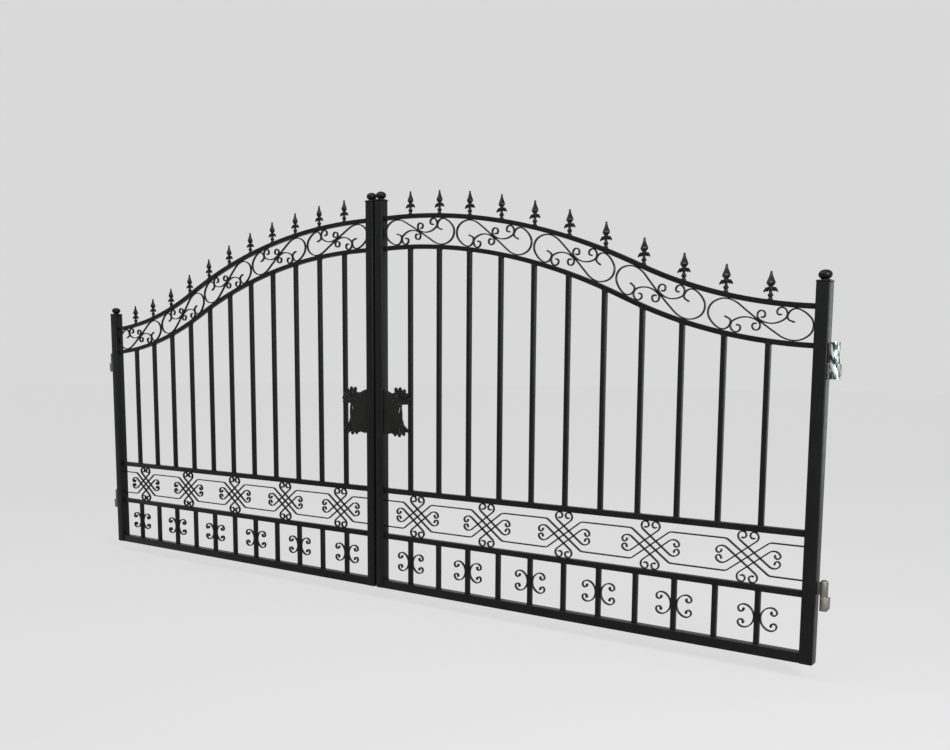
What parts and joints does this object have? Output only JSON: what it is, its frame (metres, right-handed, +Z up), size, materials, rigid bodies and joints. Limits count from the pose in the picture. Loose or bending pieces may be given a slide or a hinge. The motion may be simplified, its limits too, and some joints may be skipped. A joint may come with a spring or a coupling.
{
  "type": "double swing driveway gate",
  "caption": "Arched wrought iron driveway gate in two leaves, with spear finials, scrollwork, a knot band, cast lock plates and barrel hinges.",
  "frame": {"origin": "middle of the flat outer face of the left lower hinge's welding pad, which a post carries", "axes": "+X along the gate to the right hinge stile, +Y through the gate to the far side, +Z up"},
  "size_m": [4.358, 0.052, 1.9045],
  "materials": {
    "black_powder_coat": "semi-gloss black powder coat on steel",
    "galvanised": "plain galvanised steel, dull"
  },
  "bodies": {
    "hinge_roots": {"left_lower_pin": "galvanised", "left_upper_pin": "galvanised", "right_lower_pin": "galvanised", "right_upper_pin": "galvanised"},
    "left_leaf": {"left_hinge_stile": "black_powder_coat", "left_hinge_cap": "black_powder_coat", "left_meeting_stile": "black_powder_coat", "left_meeting_cap": "black_powder_coat", "left_upper_arch": "black_powder_coat", "left_lower_arch": "black_powder_coat", "left_mid_rail": "black_powder_coat", "left_lower_rail": "black_powder_coat", "left_bottom_rail": "black_powder_coat", "left_pickets": "black_powder_coat", "left_short_pickets": "black_powder_coat", "left_spears": "black_powder_coat", "left_arch_scrolls": "black_powder_coat", "left_knots": "black_powder_coat", "left_c_scrolls": "black_powder_coat", "left_lock_plate": "black_powder_coat", "left_hinge_barrels": "galvanised"},
    "right_leaf": {"right_hinge_stile": "black_powder_coat", "right_hinge_cap": "black_powder_coat", "right_meeting_stile": "black_powder_coat", "right_meeting_cap": "black_powder_coat", "right_upper_arch": "black_powder_coat", "right_lower_arch": "black_powder_coat", "right_mid_rail": "black_powder_coat", "right_lower_rail": "black_powder_coat", "right_bottom_rail": "black_powder_coat", "right_pickets": "black_powder_coat", "right_short_pickets": "black_powder_coat", "right_spears": "black_powder_coat", "right_arch_scrolls": "black_powder_coat", "right_knots": "black_powder_coat", "right_c_scrolls": "black_powder_coat", "right_lock_plate": "black_powder_coat", "right_hinge_barrels": "galvanised"}
  },
  "joints": [
    {"name": "left_leaf_swing", "type": "hinge", "parent": "hinge_roots", "child": "left_leaf", "pos_m": [0.02, 0, 0], "axis": [0, 0, 1], "range_deg": [0, 90]},
    {"name": "right_leaf_swing", "type": "hinge", "parent": "hinge_roots", "child": "right_leaf", "pos_m": [4.338, 0, 0], "axis": [0, 0, -1], "range_deg": [0, 90]}
  ]
}
